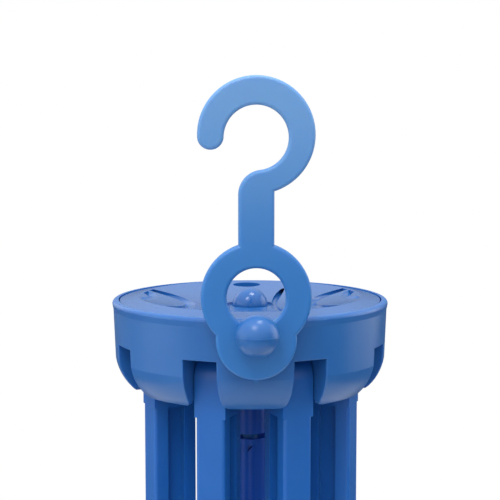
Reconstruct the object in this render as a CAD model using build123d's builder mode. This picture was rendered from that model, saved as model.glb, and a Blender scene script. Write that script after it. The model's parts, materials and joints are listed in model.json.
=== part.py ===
"""Clip drying hanger: a flat hook, a bowl-shaped hub, eight folding arms and sixteen clips.

Millimetres, +Z up, front towards -Y. The origin is the centre of the rail seat, the inside of
the hook. The arms are folded down and the clips are closed. A height called level is measured
from the plane of the hub's rim. A clip's drop is from its arm's pivot down to its own pivot.
"""

import os
from math import cos, hypot, pi, sin, sqrt

from build123d import *

OVERLAP = 1.0  # how far one shape starts inside or outside the face it meets

# Where the hub hangs from the rail seat
HUB_Y = 54.2  # hub axis behind the plate of the hook
RIM_Z = -62.0  # rim plane below the rail seat
STUD_LEVEL = -3.0  # axis of the side stud

# Hook
PLATE = 4.4
PLATE_EDGE = 1.2
GATE_R = 0.8  # moulding gate left under the boss
SEAT_R = 10.8
HOOK_R = 19.6
HOOK_RISE = 0.9  # outer arc centre above the inner one
TIP_RISE = 0.4  # start of the tip's round end above the seat's centre
SHANK_HALF = 6.0
THROAT_R = 8.3
RING_DROP = 53.3  # ring's centre below the seat's centre
RING_R = 18.6
RING_HOLE_R = 9.9
BOSS_DROP = 67.7  # boss's centre below the seat's centre
BOSS_R = 13.6

# Hub
HUB_R = 51.2
WALL = 3.0
RIM_TOP = 0.9
RIM_ROUND = 1.5
RIM_INNER_R = 48.9
LIP_LEVEL = -2.6  # lower end of the rim's outward flare
LIP_R = 50.8
RECESS_LEVEL = -6.0  # floor that the top cover lies on
DECK_LEVEL = -9.0  # underside of that floor
BEND_LEVEL = -20.5  # where the wall starts to turn in
BEND_R = 50.1
HUB_BOTTOM = -32.0
BOTTOM_R = 43.2
BOTTOM_BULGE = (47.3, -27.6)
NOTCH_LEVEL = -14.4
NOTCH_HALF = 6.15
NOTCH_FLARE = 2.0
NOTCH_ROUND = 0.4
RIB = 2.0
RIB_START_R = 20.5
RIB_BOTTOM = -30.5
NECK_R = 4.0
NECK_END_Y = 57.7
BALL_R = 7.2
BALL_Y = 62.9
PARTING_R = 7.4
PARTING = 0.5

# Column under the hub's deck
COLUMN_R = 6.2
COLUMN_END = -112.0
COLUMN_BORE_END = -58.0
WINDOW_LEVEL = -50.8
WINDOW = 2.0
VEE_TOP = -54.2
VEE_SIZE = 2.2

# Top cover: a sloping band round a shallow dish
COVER_R = 48.4
COVER_EDGE_LEVEL = 0.6
BAND_R = 41.5
BAND_LEVEL = 1.9
DISH_LEVEL = -1.8
COVER_SHELL_LEVEL = -4.2  # underside between the skirt and the middle
SKIRT = 2.0
SEAT_DISC_R = 9.0  # flat that the centre stud's head lies on
SEAT_LEVEL = -2.4
GROOVES = [
    # centre to the side, centre to the back, bend radius, section radius, level of the bottom
    (48.6, -8.1, 26.7, 2.4, -2.1),
    (130.9, -7.7, 122.1, 1.3, -2.2),
    (49.0, 2.0, 13.0, 3.0, 0.4),
]
GROOVE_END = 0.8  # short of the band
THUMB_Y = 35.8  # behind the hub's axis
THUMB_SIZE = (5.4, 3.0)
THUMB_LEVEL = -1.2

# Centre stud
STUD_BALL_R = 6.6
STUD_BALL_LEVEL = -2.0
STUD_SHAFT_R = 3.0
STUD_COLLAR_R = 4.6  # in the cover's hole
STUD_END = -56.0
FIT = 0.05  # radial running clearance

# Arms
ARM_ANGLES = [22.5 + 45.0 * k for k in range(8)]
ARM_PIVOT_R = 32.5
ARM_PIVOT_LEVEL = -23.0
ARM_DEPTH = 16.0
ARM_HALF = 5.4
ARM_LENGTH = 200.0  # pivot to the centre of the rounded tip
OUTER_FLANGE = 5.3
INNER_FLANGE = 4.2
WEB_HALF = 2.5
ARM_ROUND = 1.3
KNUCKLE_HALF = 5.8
KNUCKLE_LENGTH = 13.5  # below the pivot
TRUNNION_R = 2.0
EAR_HALF = 1.3
EAR_R = 2.7
STATIONS = [104.0, 188.0]  # drops of the two clips

# Clips
CLIP_PIVOT_R = 21.5
CLIP_HALF = 4.5
PIN_R = 1.5
PIN_HALF = 3.5
FORK_GAP_HALF = 1.6
FORK_R = 2.6
FORK_SLACK = 0.6
LEG = 2.4
LEG_FACE = -0.4  # inner face of the hanging leg, outward from the clip's pivot
CLIP_SPLIT = -2.9  # middle plane between the two jaws
CLIP_LENGTH = 61.0
COIL_DROP = 27.0  # coil's axis below the clip's pivot
COIL_R = 2.3
COIL_BORE_R = 1.5
COIL_HALF = 3.9
WIRE_R = 0.6
WIRE_SIDE = 3.1
WIRE_RUN = 15.0
JAW = 15.0
JAW_GAP = 0.3
JAW_TIP = 1.0  # thickness at the end of a jaw
HANDLE_DROP = 4.0  # top of the handles below the clip's pivot
TOOTH = 0.5
TEETH = 5
CLIP_ROUND = 0.7
GRIPS = 6
GRIP_PITCH = 2.2
GRIP_R = 0.5

HUB = Plane(origin=(0, HUB_Y, RIM_Z), x_dir=(1, 0, 0), z_dir=(0, -1, 0))
SIDE = Plane(origin=(0, HUB_Y, RIM_Z), x_dir=(0, -1, 0), z_dir=(-1, 0, 0))
HUB_AXIS = Axis((0, HUB_Y, RIM_Z), (0, 0, 1))
PLATE_PLANE = Plane(origin=(0, 0, 0), x_dir=(1, 0, 0), z_dir=(0, -1, 0))


def level(height):
    """The horizontal plane at a height from the rim plane, centred on the hub's axis."""
    return Plane(origin=(0, HUB_Y, RIM_Z + height))


def behind(radius, angle):
    """The upright plane facing outward at a radius and an angle from the front, with Y up."""
    turn = angle * pi / 180
    outward = (sin(turn), -cos(turn), 0)
    place = (outward[0] * radius, HUB_Y + outward[1] * radius, RIM_Z)
    return Plane(origin=place, x_dir=(cos(turn), sin(turn), 0), z_dir=outward)


def save(part, name):
    part.label = name
    export_step(part, f"parts/{name}.step")


def make_hook():
    """Flat hook plate: rail hook, shank, and the ring and boss with the side stud's keyhole."""
    seat_level = RIM_Z + STUD_LEVEL
    throat_x = THROAT_R - SHANK_HALF
    throat_z = -sqrt((SEAT_R + THROAT_R) ** 2 - throat_x**2)
    meet = SEAT_R / (SEAT_R + THROAT_R)
    meeting = (throat_x * meet, throat_z * meet)
    shoulder = HOOK_RISE - sqrt(HOOK_R**2 - SHANK_HALF**2)
    tip_out = -sqrt(HOOK_R**2 - (TIP_RISE - HOOK_RISE) ** 2)
    tip_in = -sqrt(SEAT_R**2 - TIP_RISE**2)
    tip_half = (tip_in - tip_out) / 2
    tip_end = (tip_out + tip_half, TIP_RISE - tip_half)
    throat_mid = (throat_x - THROAT_R * cos(pi / 4), throat_z + THROAT_R * sin(pi / 4))
    with BuildPart() as hook:
        with BuildSketch(PLATE_PLANE.offset(-PLATE / 2)):
            with BuildLine():
                ThreePointArc((SHANK_HALF, shoulder), (0, HOOK_RISE + HOOK_R), (tip_out, TIP_RISE))
                ThreePointArc((tip_out, TIP_RISE), tip_end, (tip_in, TIP_RISE))
                ThreePointArc((tip_in, TIP_RISE), (0, SEAT_R), meeting)
                ThreePointArc(meeting, throat_mid, (-SHANK_HALF, throat_z))
                Line((-SHANK_HALF, throat_z), (-SHANK_HALF, -RING_DROP))
                Line((-SHANK_HALF, -RING_DROP), (SHANK_HALF, -RING_DROP))
                Line((SHANK_HALF, -RING_DROP), (SHANK_HALF, shoulder))
            make_face()
            with Locations((0, -RING_DROP)):
                Circle(RING_R)
            with Locations((0, -BOSS_DROP)):
                Circle(BOSS_R)
            with Locations((0, -RING_DROP)):
                Circle(RING_HOLE_R, mode=Mode.SUBTRACT)
        extrude(amount=PLATE)
        faces = hook.faces().filter_by(Axis.Y).sort_by(Axis.Y)
        fillet(faces[0].edges() + faces[-1].edges(), PLATE_EDGE)
        with BuildSketch(PLATE_PLANE.offset(-GATE_R)):
            with Locations((0, -BOSS_DROP - BOSS_R)):
                Circle(GATE_R)
        extrude(amount=2 * GATE_R)
        with BuildSketch(PLATE_PLANE.offset(-PLATE)):
            with Locations((0, seat_level)):
                Circle(NECK_R + 2 * FIT)
        extrude(amount=2 * PLATE, mode=Mode.SUBTRACT)
    return hook.part


def hub_outline(whole):
    """Half section of the hub: the whole bowl, or its wall, deck and rim alone."""
    rim_low = RIM_TOP - RIM_ROUND
    rim_mid = (HUB_R - RIM_ROUND * (1 - cos(pi / 4)), rim_low + RIM_ROUND * sin(pi / 4))
    inside = (BOTTOM_BULGE[0] - WALL * cos(pi / 6), BOTTOM_BULGE[1] + WALL * sin(pi / 6))
    with BuildSketch() as outline:
        with BuildLine():
            Line((0, RECESS_LEVEL), (RIM_INNER_R, RECESS_LEVEL))
            Line((RIM_INNER_R, RECESS_LEVEL), (RIM_INNER_R, RIM_TOP))
            Line((RIM_INNER_R, RIM_TOP), (HUB_R - RIM_ROUND, RIM_TOP))
            ThreePointArc((HUB_R - RIM_ROUND, RIM_TOP), rim_mid, (HUB_R, rim_low))
            Line((HUB_R, rim_low), (LIP_R, LIP_LEVEL))
            Line((LIP_R, LIP_LEVEL), (BEND_R, BEND_LEVEL))
            ThreePointArc((BEND_R, BEND_LEVEL), BOTTOM_BULGE, (BOTTOM_R, HUB_BOTTOM))
            if whole:
                Line((BOTTOM_R, HUB_BOTTOM), (0, HUB_BOTTOM))
                Line((0, HUB_BOTTOM), (0, RECESS_LEVEL))
            else:
                Line((BOTTOM_R, HUB_BOTTOM), (BOTTOM_R - WALL, HUB_BOTTOM))
                ThreePointArc((BOTTOM_R - WALL, HUB_BOTTOM), inside, (BEND_R - WALL, BEND_LEVEL))
                Line((BEND_R - WALL, BEND_LEVEL), (BEND_R - WALL, DECK_LEVEL))
                Line((BEND_R - WALL, DECK_LEVEL), (0, DECK_LEVEL))
                Line((0, DECK_LEVEL), (0, RECESS_LEVEL))
        make_face()
    return outline.sketch


def notch_outline():
    """Section of an arm's slot, looking inward: upright sides that flare at the bottom edge."""
    flare_top = HUB_BOTTOM + NOTCH_FLARE
    wide = NOTCH_HALF + NOTCH_FLARE
    below = HUB_BOTTOM - NOTCH_FLARE
    slack = NOTCH_FLARE * (1 - cos(pi / 4))
    flare_mid = (NOTCH_HALF + slack, HUB_BOTTOM + slack)
    with BuildSketch() as outline:
        with BuildLine() as half:
            Line((0, NOTCH_LEVEL), (NOTCH_HALF, NOTCH_LEVEL))
            Line((NOTCH_HALF, NOTCH_LEVEL), (NOTCH_HALF, flare_top))
            ThreePointArc((NOTCH_HALF, flare_top), flare_mid, (wide, HUB_BOTTOM))
            Line((wide, HUB_BOTTOM), (wide, below))
            Line((wide, below), (0, below))
            mirror(half.line, Plane.YZ)
        make_face()
    return outline.sketch


def slot_edges(hub):
    """Curved edges that the arm slots leave outside the hub's wall and along its bottom."""
    chosen = []
    for edge in hub.edges().filter_by(GeomType.LINE, reverse=True):
        middle = edge.position_at(0.5)
        radius = hypot(middle.X, middle.Y - HUB_Y)
        height = middle.Z - RIM_Z
        ends = [edge.position_at(end).Z - RIM_Z for end in (0, 1)]
        along_bend = all(abs(end - BEND_LEVEL) < FIT for end in ends)
        if radius > BOTTOM_R - NOTCH_ROUND and height < NOTCH_LEVEL + FIT and not along_bend:
            chosen.append(edge)
    return chosen


def make_hub_body():
    """Bowl-shaped hub: eight arm slots between ribs, a column for the stud, and the side stud."""
    rib_length = HUB_R - RIB_START_R
    with BuildPart() as hub:
        with BuildSketch(level(RIB_BOTTOM)):
            with PolarLocations(RIB_START_R + rib_length / 2, len(ARM_ANGLES), ARM_ANGLES[0]):
                Rectangle(rib_length, 2 * (NOTCH_HALF + RIB))
        extrude(amount=DECK_LEVEL - RIB_BOTTOM)
        with BuildSketch(HUB):
            add(hub_outline(whole=True))
        revolve(axis=HUB_AXIS, mode=Mode.INTERSECT)
        with BuildSketch(HUB):
            add(hub_outline(whole=False))
        revolve(axis=HUB_AXIS)
        for angle in ARM_ANGLES:
            with BuildSketch(behind(RIB_START_R - RIB, angle)):
                add(notch_outline())
            extrude(amount=HUB_R, mode=Mode.SUBTRACT)
        fillet(slot_edges(hub), NOTCH_ROUND)
        for angle in ARM_ANGLES:
            turn = angle * pi / 180
            back = HUB_Y - cos(turn) * ARM_PIVOT_R
            pivot = (sin(turn) * ARM_PIVOT_R, back, RIM_Z + ARM_PIVOT_LEVEL)
            across = Plane(origin=pivot, z_dir=(cos(turn), sin(turn), 0))
            with BuildSketch(across):
                Circle(TRUNNION_R + FIT)
            extrude(amount=NOTCH_HALF + RIB + OVERLAP, both=True, mode=Mode.SUBTRACT)
        with BuildSketch(level(COLUMN_END)):
            Circle(COLUMN_R)
        extrude(amount=DECK_LEVEL - COLUMN_END)
        with BuildSketch(level(COLUMN_BORE_END)):
            Circle(STUD_SHAFT_R + FIT)
        extrude(amount=RECESS_LEVEL - COLUMN_BORE_END + OVERLAP, mode=Mode.SUBTRACT)
        with BuildSketch(HUB.offset(COLUMN_R + OVERLAP)):
            with Locations((0, WINDOW_LEVEL)):
                Rectangle(3 * COLUMN_R, WINDOW)
        extrude(amount=-(COLUMN_R + OVERLAP + STUD_SHAFT_R / 3), mode=Mode.SUBTRACT)
        with BuildSketch(HUB.offset(COLUMN_R + OVERLAP)):
            with BuildLine():
                Polyline(
                    (-VEE_SIZE / 2, VEE_TOP),
                    (VEE_SIZE / 2, VEE_TOP),
                    (-VEE_SIZE / 2, VEE_TOP - VEE_SIZE),
                    close=True,
                )
            make_face()
        extrude(amount=-WALL, mode=Mode.SUBTRACT)
        with BuildSketch(HUB.offset(HUB_R - WALL / 2)):
            with Locations((0, STUD_LEVEL)):
                Circle(NECK_R)
        extrude(amount=NECK_END_Y - HUB_R + WALL / 2)
        with Locations((0, HUB_Y - BALL_Y, RIM_Z + STUD_LEVEL)):
            Sphere(BALL_R)
            Cylinder(PARTING_R, PARTING)
    return hub.part


def dish_level(radius):
    """Height of the dish's surface at a radius."""
    return DISH_LEVEL + (BAND_LEVEL - DISH_LEVEL) * (radius / BAND_R) ** 2


def make_relief():
    """Round-bottomed grooves that shape the cover's leaves, left and right inside its band."""
    with BuildPart() as relief:
        for side in (-1, 1):
            for across, back, bend, section, level_z in GROOVES:
                with Locations((side * across, HUB_Y + back, RIM_Z + level_z + section)):
                    Torus(bend, section)
        with BuildSketch(level(RECESS_LEVEL)):
            Circle(BAND_R - GROOVE_END)
        extrude(amount=-3 * RECESS_LEVEL, mode=Mode.INTERSECT)
    return relief.part


def make_top_cover():
    """Round dished cover: sloping band, leaf relief, thumb recess and the centre stud's seat."""
    dish_mid = (BAND_R / 2, dish_level(BAND_R / 2))
    with BuildPart() as cover:
        with BuildSketch(HUB):
            with BuildLine():
                Line((0, RECESS_LEVEL), (COVER_R, RECESS_LEVEL))
                Line((COVER_R, RECESS_LEVEL), (COVER_R, COVER_EDGE_LEVEL))
                Line((COVER_R, COVER_EDGE_LEVEL), (BAND_R, BAND_LEVEL))
                ThreePointArc((BAND_R, BAND_LEVEL), dish_mid, (0, DISH_LEVEL))
                Line((0, DISH_LEVEL), (0, RECESS_LEVEL))
            make_face()
        revolve(axis=HUB_AXIS)
        add(make_relief(), mode=Mode.SUBTRACT)
        with BuildSketch(level(THUMB_LEVEL)):
            with Locations((0, THUMB_Y)):
                Ellipse(*THUMB_SIZE)
        extrude(amount=-RECESS_LEVEL, mode=Mode.SUBTRACT)
        with BuildSketch(level(SEAT_LEVEL)):
            Circle(SEAT_DISC_R)
        extrude(amount=-RECESS_LEVEL, mode=Mode.SUBTRACT)
        with BuildSketch(level(RECESS_LEVEL)):
            Circle(COVER_R - SKIRT)
            Circle(SEAT_DISC_R + SKIRT, mode=Mode.SUBTRACT)
        extrude(amount=COVER_SHELL_LEVEL - RECESS_LEVEL, mode=Mode.SUBTRACT)
        with BuildSketch(level(RECESS_LEVEL - OVERLAP)):
            Circle(STUD_COLLAR_R + FIT)
        extrude(amount=-RECESS_LEVEL, mode=Mode.SUBTRACT)
    return cover.part


def make_centre_stud():
    """Ball-headed stud on the hub's axis: its head holds the cover, its shaft is in the column."""
    with BuildPart() as stud:
        with Locations((0, HUB_Y, RIM_Z + STUD_BALL_LEVEL)):
            Sphere(STUD_BALL_R)
        with BuildSketch(level(SEAT_LEVEL)):
            Circle(2 * STUD_BALL_R)
        extrude(amount=-2 * STUD_BALL_R, mode=Mode.SUBTRACT)
        with BuildSketch(level(RECESS_LEVEL)):
            Circle(STUD_COLLAR_R)
        extrude(amount=SEAT_LEVEL - RECESS_LEVEL)
        with BuildSketch(level(STUD_END)):
            Circle(STUD_SHAFT_R)
        extrude(amount=RECESS_LEVEL - STUD_END)
    return stud.part


def make_arm():
    """Folding arm at the front: knuckle, outer flange, recessed web and inner flange."""
    outer = ARM_PIVOT_R + ARM_DEPTH / 2
    inner = ARM_PIVOT_R - ARM_DEPTH / 2
    top = ARM_PIVOT_LEVEL - KNUCKLE_LENGTH + ARM_ROUND
    bottom = ARM_PIVOT_LEVEL - ARM_LENGTH
    with BuildPart() as arm:
        with BuildSketch(SIDE):
            with Locations((outer - OUTER_FLANGE / 2, (top + bottom) / 2)):
                Rectangle(OUTER_FLANGE, top - bottom)
        extrude(amount=ARM_HALF, both=True)
        fillet(arm.edges().filter_by(Axis.Z).group_by(Axis.Y)[0], ARM_ROUND)
        with BuildSketch(SIDE):
            with Locations((ARM_PIVOT_R, (top + bottom) / 2)):
                Rectangle(ARM_DEPTH - 2 * INNER_FLANGE, top - bottom)
        extrude(amount=WEB_HALF, both=True)
        with BuildSketch(SIDE):
            with Locations((inner + INNER_FLANGE / 2, (top + bottom) / 2)):
                Rectangle(INNER_FLANGE, top - bottom)
        extrude(amount=ARM_HALF, both=True)
        with BuildSketch(SIDE):
            with Locations((ARM_PIVOT_R, ARM_PIVOT_LEVEL)):
                Circle(ARM_DEPTH / 2)
            with Locations((ARM_PIVOT_R, ARM_PIVOT_LEVEL - KNUCKLE_LENGTH / 2)):
                Rectangle(ARM_DEPTH, KNUCKLE_LENGTH)
            with Locations((ARM_PIVOT_R, bottom)):
                Circle(ARM_DEPTH / 2)
        extrude(amount=ARM_HALF, both=True)
        with BuildSketch(SIDE):
            with Locations((ARM_PIVOT_R, ARM_PIVOT_LEVEL)):
                Circle(ARM_DEPTH / 2)
            with Locations((ARM_PIVOT_R, ARM_PIVOT_LEVEL - KNUCKLE_LENGTH / 2)):
                Rectangle(ARM_DEPTH, KNUCKLE_LENGTH)
        extrude(amount=KNUCKLE_HALF, both=True)
        with BuildSketch(SIDE):
            with Locations((ARM_PIVOT_R, ARM_PIVOT_LEVEL)):
                Circle(TRUNNION_R)
        extrude(amount=NOTCH_HALF + RIB, both=True)
        with BuildSketch(SIDE):
            for drop in STATIONS:
                with Locations((CLIP_PIVOT_R, ARM_PIVOT_LEVEL - drop)):
                    Circle(EAR_R)
                with Locations(((CLIP_PIVOT_R + inner + OVERLAP) / 2, ARM_PIVOT_LEVEL - drop)):
                    Rectangle(inner + OVERLAP - CLIP_PIVOT_R, 2 * EAR_R)
        extrude(amount=EAR_HALF, both=True)
        with BuildSketch(SIDE):
            for drop in STATIONS:
                with Locations((CLIP_PIVOT_R, ARM_PIVOT_LEVEL - drop)):
                    Circle(PIN_R + FIT)
        extrude(amount=EAR_HALF + OVERLAP, both=True, mode=Mode.SUBTRACT)
    return arm.part


def clip_plane(drop):
    """Side plane of a clip at the front: its origin at the clip's pivot, X outward, Y up."""
    place = (0, HUB_Y - CLIP_PIVOT_R, RIM_Z + ARM_PIVOT_LEVEL - drop)
    return Plane(origin=place, x_dir=(0, -1, 0), z_dir=(-1, 0, 0))


def jaw_teeth(face):
    """Shallow grooves across a jaw's gripping face."""
    pitch = JAW / (TEETH + 1)
    for tooth in range(TEETH):
        with Locations((face, -CLIP_LENGTH + pitch * (tooth + 1))):
            Circle(TOOTH, mode=Mode.SUBTRACT)


def grip_grooves(face):
    """Outlines of the finger grooves across a handle's outer face."""
    with BuildSketch() as grooves:
        for groove in range(GRIPS):
            with Locations((face, -HANDLE_DROP - GRIP_PITCH * (groove + 1))):
                Circle(GRIP_R)
    return grooves.sketch


def make_clip_leg(drop):
    """Hanging leg: a fork with the clip's pin, a handle and the outer jaw."""
    plane = clip_plane(drop)
    face = CLIP_SPLIT + JAW_GAP / 2
    with BuildPart() as leg:
        with BuildSketch(plane):
            with BuildLine():
                Polyline(
                    (LEG_FACE, -HANDLE_DROP),
                    (LEG_FACE + LEG, -HANDLE_DROP),
                    (LEG_FACE + LEG, -CLIP_LENGTH + JAW / 3),
                    (face + JAW_TIP, -CLIP_LENGTH),
                    (face, -CLIP_LENGTH),
                    (face, -CLIP_LENGTH + JAW),
                    (LEG_FACE, -CLIP_LENGTH + JAW + LEG),
                    close=True,
                )
            make_face()
            jaw_teeth(face)
        extrude(amount=CLIP_HALF, both=True)
        fillet(leg.edges().filter_by(Axis.Z).group_by(Axis.Y)[0], CLIP_ROUND)
        with BuildSketch(plane):
            add(grip_grooves(LEG_FACE + LEG))
        extrude(amount=CLIP_HALF, both=True, mode=Mode.SUBTRACT)
        with BuildSketch(plane):
            Circle(FORK_R)
            with Locations((LEG_FACE + LEG / 2, -HANDLE_DROP / 2)):
                Rectangle(LEG, HANDLE_DROP + OVERLAP)
        extrude(amount=CLIP_HALF, both=True)
        with BuildSketch(plane):
            Rectangle(4 * FORK_R, 2 * (EAR_R + FORK_SLACK))
        extrude(amount=FORK_GAP_HALF, both=True, mode=Mode.SUBTRACT)
        with BuildSketch(plane):
            Circle(PIN_R)
        extrude(amount=PIN_HALF, both=True)
    return leg.part


def make_clip_lever(drop):
    """Free leg: the handle that is squeezed and the inner jaw."""
    plane = clip_plane(drop)
    face = CLIP_SPLIT - JAW_GAP / 2
    back = 2 * CLIP_SPLIT - LEG_FACE - LEG
    inside = back + LEG
    with BuildPart() as lever:
        with BuildSketch(plane):
            with BuildLine():
                Polyline(
                    (inside, -HANDLE_DROP),
                    (back, -HANDLE_DROP),
                    (back, -CLIP_LENGTH + JAW / 3),
                    (face - JAW_TIP, -CLIP_LENGTH),
                    (face, -CLIP_LENGTH),
                    (face, -CLIP_LENGTH + JAW),
                    (inside, -CLIP_LENGTH + JAW + LEG),
                    close=True,
                )
            make_face()
            jaw_teeth(face)
        extrude(amount=CLIP_HALF, both=True)
        fillet(lever.edges().filter_by(Axis.Z).group_by(Axis.Y)[-1], CLIP_ROUND)
        with BuildSketch(plane):
            add(grip_grooves(back))
        extrude(amount=CLIP_HALF, both=True, mode=Mode.SUBTRACT)
    return lever.part


def make_clip_spring(drop):
    """Torsion spring: a coil between the legs, and a wire up each handle's inner face."""
    plane = clip_plane(drop)
    reach = COIL_R - WIRE_R
    with BuildPart() as spring:
        with BuildSketch(plane):
            with Locations((CLIP_SPLIT, -COIL_DROP)):
                Circle(COIL_R)
                Circle(COIL_BORE_R, mode=Mode.SUBTRACT)
        extrude(amount=COIL_HALF, both=True)
        base = RIM_Z + ARM_PIVOT_LEVEL - drop - COIL_DROP
        for side in (-1, 1):
            place = (side * WIRE_SIDE, HUB_Y - CLIP_PIVOT_R - CLIP_SPLIT - side * reach, base)
            with BuildSketch(Plane(origin=place)):
                Circle(WIRE_R)
            extrude(amount=WIRE_RUN)
    return spring.part


def main():
    os.makedirs("parts", exist_ok=True)
    save(make_hook(), "hook")
    save(make_hub_body(), "hub_body")
    save(make_top_cover(), "top_cover")
    save(make_centre_stud(), "centre_stud")
    arm = make_arm()
    for number, angle in enumerate(ARM_ANGLES, start=1):
        save(arm.rotate(HUB_AXIS, angle), f"arm_{number}")
    makers = {"leg": make_clip_leg, "lever": make_clip_lever, "spring": make_clip_spring}
    for place, drop in zip(("middle", "end"), STATIONS):
        for piece, maker in makers.items():
            made = maker(drop)
            for number, angle in enumerate(ARM_ANGLES, start=1):
                save(made.rotate(HUB_AXIS, angle), f"clip_{number}_{place}_{piece}")


main()
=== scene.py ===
"""Clip drying hanger: looks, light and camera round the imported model.

Metres, +Z up, front towards -Y.
"""

import json
from math import cos, pi, radians, sin

import bpy
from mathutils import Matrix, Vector

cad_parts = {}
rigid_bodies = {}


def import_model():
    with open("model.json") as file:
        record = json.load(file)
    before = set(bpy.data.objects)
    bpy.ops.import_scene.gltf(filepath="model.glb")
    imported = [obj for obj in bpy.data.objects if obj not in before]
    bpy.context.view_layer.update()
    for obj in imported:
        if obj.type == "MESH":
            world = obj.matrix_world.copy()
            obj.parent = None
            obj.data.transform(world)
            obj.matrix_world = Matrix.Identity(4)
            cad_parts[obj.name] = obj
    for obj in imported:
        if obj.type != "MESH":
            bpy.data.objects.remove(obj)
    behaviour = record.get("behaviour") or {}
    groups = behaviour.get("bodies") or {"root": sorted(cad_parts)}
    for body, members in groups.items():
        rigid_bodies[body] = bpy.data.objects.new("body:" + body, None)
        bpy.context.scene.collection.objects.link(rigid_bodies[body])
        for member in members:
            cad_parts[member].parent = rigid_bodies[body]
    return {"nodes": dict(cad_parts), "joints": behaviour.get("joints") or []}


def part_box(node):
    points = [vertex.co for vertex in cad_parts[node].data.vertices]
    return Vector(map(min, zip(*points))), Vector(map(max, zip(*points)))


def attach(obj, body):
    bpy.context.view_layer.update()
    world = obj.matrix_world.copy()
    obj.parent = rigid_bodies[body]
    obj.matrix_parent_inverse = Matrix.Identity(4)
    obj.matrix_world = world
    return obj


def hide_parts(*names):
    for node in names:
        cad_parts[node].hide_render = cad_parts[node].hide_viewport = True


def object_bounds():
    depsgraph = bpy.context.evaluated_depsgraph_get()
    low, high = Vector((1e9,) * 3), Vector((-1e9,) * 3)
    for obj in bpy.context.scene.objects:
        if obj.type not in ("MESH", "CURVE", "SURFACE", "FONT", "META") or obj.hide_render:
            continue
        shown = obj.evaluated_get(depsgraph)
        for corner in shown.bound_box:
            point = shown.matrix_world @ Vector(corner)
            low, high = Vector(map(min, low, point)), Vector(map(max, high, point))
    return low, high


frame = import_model()
cad_low, cad_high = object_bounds()

# Camera: where it stands from the hub's axis and rim plane, and where it looks
CAMERA_DISTANCE = 0.518
CAMERA_RISE = 0.075
CAMERA_TURN = radians(2.2)
CAMERA_PITCH = radians(6.2)
LENS = 100.8
SENSOR = 36.0

HUB_LOW, HUB_HIGH = (Vector(corner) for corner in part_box("top_cover"))
HUB_X = (HUB_LOW.x + HUB_HIGH.x) / 2
HUB_Y = (HUB_LOW.y + HUB_HIGH.y) / 2
BAND_RISE = 0.0019  # top of the cover's band above the rim plane
RIM_Z = HUB_HIGH.z - BAND_RISE
BOWL_DEPTH = 0.032  # from the rim plane to the hub's bottom edge
COLUMN_START = 0.040  # below the rim plane, from where the column's painted shade is full
HOOK_TOP = Vector(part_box("hook")[1]).z
PAINTED_LIGHT_START = 0.012  # above the rim plane, where the hook's painted light starts to make it paler

# Clip springs
WIRE_R = 0.00055
COIL_R = 0.00175  # to the middle of the wire
COIL_TURNS = 5
COIL_HALF = 0.0031
COIL_STEPS = 16  # points for each turn
COIL_TAIL = 4  # points of the coil that the lever's wire shares
LEVER_WIRE_R = 0.00053
LEG_RUN = 0.0148  # wire up each handle
LEG_RISES = (0.12, 0.33, 0.66, 1.0)  # the wire's points, as shares of that run
WIRE_ROUNDNESS = 3  # bevel steps of the wire's section

# Floor: half its width, and how far it is below the hanger
FLOOR_HALF = 1.6
FLOOR_DROP = 1.0

# Lamps: place, width and watts
LAMPS = {
    "key": ((-0.22, -0.45, 0.62), 0.30, 2.4),
    "second": ((0.12, 0.02, 0.70), 0.22, 1.8),
    "right": ((0.68, 0.24, 0.06), 0.60, 2.0),
    "left": ((-0.75, -0.10, -0.10), 0.60, 0.7),
    "back": ((-0.90, 1.20, 0.25), 0.90, 1.4),
}
GLOW_FROM = (-0.22, -0.2, 0.93)  # towards the brightest part of the studio

# Sockets of Blender's Mix node when it mixes colours: others on it have the same names
MIX_FACTOR = 0
MIX_FROM = 6
MIX_TO = 7
MIX_RESULT = 2

UP = Vector((0, 0, 1))


def link(thing):
    """Adds an object to the scene."""
    bpy.context.scene.collection.objects.link(thing)
    return thing


def add_camera():
    """The photograph's viewpoint: a little left of the front and a little above the rim."""
    data = bpy.data.cameras.new("camera")
    data.lens = LENS
    data.sensor_width = SENSOR
    data.clip_start = 0.01
    camera = link(bpy.data.objects.new("camera", data))
    camera.location = (
        HUB_X - sin(CAMERA_TURN) * CAMERA_DISTANCE,
        HUB_Y - cos(CAMERA_TURN) * CAMERA_DISTANCE,
        RIM_Z + CAMERA_RISE,
    )
    camera.rotation_euler = (pi / 2 - CAMERA_PITCH, 0, -CAMERA_TURN)
    bpy.context.scene.camera = camera


def add_node(tree, kind, **inputs):
    """A shader node with the given input values."""
    node = tree.nodes.new(kind)
    for name, value in inputs.items():
        node.inputs[name.replace("_", " ")].default_value = value
    return node


def noise(tree, place, scale, detail):
    """Noise in the object's own coordinates."""
    node = add_node(tree, "ShaderNodeTexNoise", Scale=scale, Detail=detail, Roughness=0.55)
    tree.links.new(place.outputs["Object"], node.inputs["Vector"])
    return node.outputs["Fac"]


def spread(tree, value, low, high):
    """Maps the middle of a noise's range to low and high."""
    node = add_node(tree, "ShaderNodeMapRange", From_Min=0.3, From_Max=0.7, To_Min=low, To_Max=high)
    tree.links.new(value, node.inputs["Value"])
    return node.outputs["Result"]


def new_material(name):
    """A material with its node tree, its shader and the object's coordinates."""
    material = bpy.data.materials.new(name)
    material.use_nodes = True
    tree = material.node_tree
    return material, tree, tree.nodes["Principled BSDF"], tree.nodes.new("ShaderNodeTexCoord")


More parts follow.
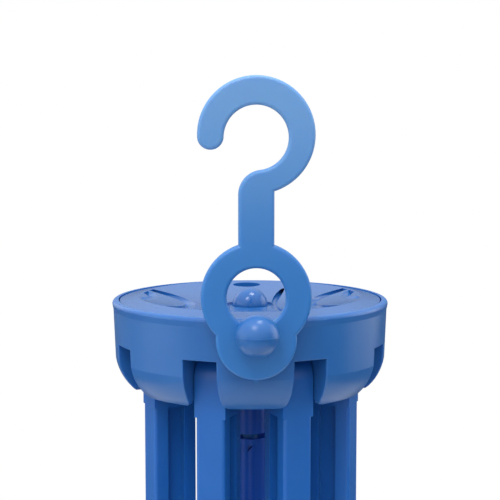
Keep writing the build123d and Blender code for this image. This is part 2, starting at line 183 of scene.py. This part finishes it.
def moulded_plastic(name, colour, deep, roughness, translucence, peel=0.2):
    """Injection-moulded polypropylene: faint flow clouding, uneven gloss and a soft orange peel."""
    material, tree, shader, place = new_material(name)
    clouds = noise(tree, place, scale=42.0, detail=3.0)
    tint = tree.nodes.new("ShaderNodeValToRGB")
    tint.color_ramp.elements[0].position = 0.3
    tint.color_ramp.elements[0].color = (*deep, 1)
    tint.color_ramp.elements[1].position = 0.7
    tint.color_ramp.elements[1].color = (*colour, 1)
    tree.links.new(clouds, tint.inputs["Fac"])
    tree.links.new(tint.outputs["Color"], shader.inputs["Base Color"])

    gloss = noise(tree, place, scale=60.0, detail=1.0)
    uneven = spread(tree, gloss, low=roughness - 0.02, high=roughness + 0.03)
    tree.links.new(uneven, shader.inputs["Roughness"])

    bump = add_node(tree, "ShaderNodeBump", Strength=peel, Distance=0.00001)
    tree.links.new(noise(tree, place, scale=420.0, detail=1.0), bump.inputs["Height"])
    tree.links.new(bump.outputs["Normal"], shader.inputs["Normal"])

    shader.inputs["IOR"].default_value = 1.49
    shader.inputs["Specular IOR Level"].default_value = 0.45
    shader.inputs["Subsurface Weight"].default_value = translucence
    shader.inputs["Subsurface Radius"].default_value = (0.05, 0.30, 1.0)
    shader.inputs["Subsurface Scale"].default_value = 0.006
    return material


def paint_light_and_shade_by_height(material, start, end, colour):
    """Blends the plastic's blue to another colour from one height to another: painted light where
    that colour is paler, painted shade where it is deeper.
    """
    tree = material.node_tree
    shader = tree.nodes["Principled BSDF"]
    body = shader.inputs["Base Color"].links[0].from_socket
    place = tree.nodes.new("ShaderNodeTexCoord")
    parts = tree.nodes.new("ShaderNodeSeparateXYZ")
    tree.links.new(place.outputs["Object"], parts.inputs["Vector"])
    height = add_node(tree, "ShaderNodeMapRange", From_Min=start, From_Max=end)
    height.interpolation_type = "SMOOTHSTEP"
    tree.links.new(parts.outputs["Z"], height.inputs["Value"])
    blend = tree.nodes.new("ShaderNodeMix")
    blend.data_type = "RGBA"
    blend.inputs[MIX_TO].default_value = (*colour, 1)
    tree.links.new(height.outputs["Result"], blend.inputs[MIX_FACTOR])
    tree.links.new(body, blend.inputs[MIX_FROM])
    tree.links.new(blend.outputs[MIX_RESULT], shader.inputs["Base Color"])


def spring_steel():
    """Bright steel wire whose shade and gloss vary finely."""
    material, tree, shader, place = new_material("spring_steel")
    shader.inputs["Metallic"].default_value = 1.0
    tint = tree.nodes.new("ShaderNodeValToRGB")
    tint.color_ramp.elements[0].color = (0.50, 0.49, 0.47, 1)
    tint.color_ramp.elements[1].color = (0.66, 0.67, 0.69, 1)
    tree.links.new(noise(tree, place, scale=900.0, detail=3.0), tint.inputs["Fac"])
    tree.links.new(tint.outputs["Color"], shader.inputs["Base Color"])
    gloss = noise(tree, place, scale=2600.0, detail=2.0)
    tree.links.new(spread(tree, gloss, low=0.2, high=0.38), shader.inputs["Roughness"])
    return material


def dress_nodes():
    """Gives every CAD node its material."""
    hook = moulded_plastic(
        "hook_plastic",
        colour=(0.024, 0.164, 0.460),
        deep=(0.018, 0.149, 0.435),
        roughness=0.42,
        translucence=0.20,
    )
    # Stands in for the light that comes through the thin plate towards its top
    paint_light_and_shade_by_height(hook, RIM_Z + PAINTED_LIGHT_START, HOOK_TOP, (0.120, 0.285, 0.560))
    hub = moulded_plastic(
        "hub_plastic",
        colour=(0.022, 0.128, 0.385),
        deep=(0.017, 0.116, 0.360),
        roughness=0.32,
        translucence=0.25,
    )
    # Painted shade: the column below the bowl is a deeper blue than the wall, standing in for the
    # shade under the bowl and among the arms
    paint_light_and_shade_by_height(hub, RIM_Z - BOWL_DEPTH, RIM_Z - COLUMN_START, (0.004, 0.078, 0.450))
    cover = moulded_plastic(
        "cover_plastic",
        colour=(0.014, 0.108, 0.345),
        deep=(0.011, 0.097, 0.322),
        roughness=0.18,
        translucence=0.10,
        peel=0.04,
    )
    arm = moulded_plastic(
        "arm_plastic",
        colour=(0.012, 0.118, 0.420),
        deep=(0.009, 0.107, 0.396),
        roughness=0.34,
        translucence=0.25,
    )
    steel = spring_steel()
    for name, node in frame["nodes"].items():
        if name == "hook":
            material = hook
        elif name.endswith("_spring"):
            material = steel
        elif name.startswith(("arm", "clip")):
            material = arm
        elif name in ("top_cover", "centre_stud"):
            material = cover
        else:
            material = hub
        node.data.materials.clear()
        node.data.materials.append(material)
    return steel


def spring_points(centre, along, outward):
    """Middle lines of a torsion spring: the coil with the wire up one handle, and the other wire."""
    steps = int((COIL_TURNS + 0.5) * COIL_STEPS)
    coil = []
    for step in range(steps + 1):
        angle = -2 * pi * step / COIL_STEPS
        shift = along * COIL_HALF * (2 * step / steps - 1)
        coil.append(centre + shift + outward * cos(angle) * COIL_R + UP * sin(angle) * COIL_R)
    leg_wire = [coil[0] + UP * LEG_RUN * rise for rise in reversed(LEG_RISES)]
    lever_wire = [coil[-1] + UP * LEG_RUN * rise for rise in LEG_RISES]
    return leg_wire + coil, coil[-COIL_TAIL:] + lever_wire


def add_wire(name, points, radius, steel, body):
    """Round steel wire along the points, which moves with a body."""
    data = bpy.data.curves.new(name, "CURVE")
    data.dimensions = "3D"
    data.bevel_depth = radius
    data.bevel_resolution = WIRE_ROUNDNESS
    data.use_fill_caps = True
    spline = data.splines.new("POLY")
    spline.points.add(len(points) - 1)
    for point, place in zip(spline.points, points):
        point.co = (*place, 1)
    data.materials.append(steel)
    wire = link(bpy.data.objects.new(name, data))
    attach(wire, body)
    return wire


def add_springs(steel):
    """Wound wire springs in place of the clips' plain spring solids.

    The wire on the lever starts inside the coil's last part, so the two stay joined as the lever
    turns.
    """
    for joint in frame["joints"]:
        if not joint["name"].endswith("_squeeze"):
            continue
        clip = joint["parent"]
        along = Vector(joint["axis"])
        coil, lever = spring_points(Vector(joint["pos_m"]), along, along.cross(UP))
        wound = add_wire(f"{clip}_wire", coil, WIRE_R, steel, clip)
        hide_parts(f"{clip}_spring")
        add_wire(f"{clip}_lever_wire", lever, LEVER_WIRE_R, steel, joint["child"])


def add_floor():
    """Plain pale floor below the hanger, white as the studio round it."""
    data = bpy.data.meshes.new("floor")
    level = cad_low[2] - FLOOR_DROP
    signs = ((-1, -1), (1, -1), (1, 1), (-1, 1))
    corners = [(x * FLOOR_HALF, y * FLOOR_HALF, level) for x, y in signs]
    data.from_pydata(corners, [], [(0, 1, 2, 3)])
    material, tree, shader, place = new_material("floor")
    gloss = noise(tree, place, scale=30.0, detail=2.0)
    tree.links.new(spread(tree, gloss, low=0.85, high=0.95), shader.inputs["Roughness"])
    shader.inputs["Base Color"].default_value = (0.8, 0.8, 0.8, 1)
    data.materials.append(material)
    link(bpy.data.objects.new("floor", data))


def add_area(name, place, target, size, power):
    """A soft square lamp aimed at a point."""
    data = bpy.data.lights.new(name, "AREA")
    data.size = size
    data.energy = power
    lamp = link(bpy.data.objects.new(name, data))
    lamp.visible_camera = False
    lamp.location = place
    lamp.rotation_euler = (Vector(target) - Vector(place)).to_track_quat("-Z", "Y").to_euler()


def add_world():
    """White studio whose light comes mostly from above, and a little from the left and the front.

    The gradient only lights the object: the camera sees plain white from everywhere.
    """
    world = bpy.data.worlds.new("studio")
    bpy.context.scene.world = world
    world.use_nodes = True
    tree = world.node_tree
    place = tree.nodes.new("ShaderNodeTexCoord")
    side = tree.nodes.new("ShaderNodeVectorMath")
    side.operation = "DOT_PRODUCT"
    side.inputs[1].default_value = Vector(GLOW_FROM).normalized()
    tree.links.new(place.outputs["Generated"], side.inputs[0])
    glow = add_node(tree, "ShaderNodeMapRange", From_Min=-0.5, From_Max=0.9, To_Min=0.05, To_Max=1.6)
    glow.interpolation_type = "SMOOTHSTEP"
    tree.links.new(side.outputs["Value"], glow.inputs["Value"])
    lit = tree.nodes["Background"]
    lit.inputs["Color"].default_value = (1, 1, 1, 1)
    tree.links.new(glow.outputs["Result"], lit.inputs["Strength"])
    seen = add_node(tree, "ShaderNodeBackground", Color=(1, 1, 1, 1), Strength=1.0)
    rays = tree.nodes.new("ShaderNodeLightPath")
    mix = tree.nodes.new("ShaderNodeMixShader")
    tree.links.new(rays.outputs["Is Camera Ray"], mix.inputs["Fac"])
    tree.links.new(lit.outputs["Background"], mix.inputs[1])
    tree.links.new(seen.outputs["Background"], mix.inputs[2])
    tree.links.new(mix.outputs["Shader"], tree.nodes["World Output"].inputs["Surface"])


def add_light():
    """White studio: two soft lamps above, a wide one at each side and one far behind on the left."""
    add_world()
    for name, (place, size, power) in LAMPS.items():
        add_area(name, place, (HUB_X, HUB_Y, RIM_Z), size, power)
    bpy.context.scene.view_settings.view_transform = "Standard"


add_camera()
steel_wire = dress_nodes()
add_springs(steel_wire)
add_floor()
add_light()
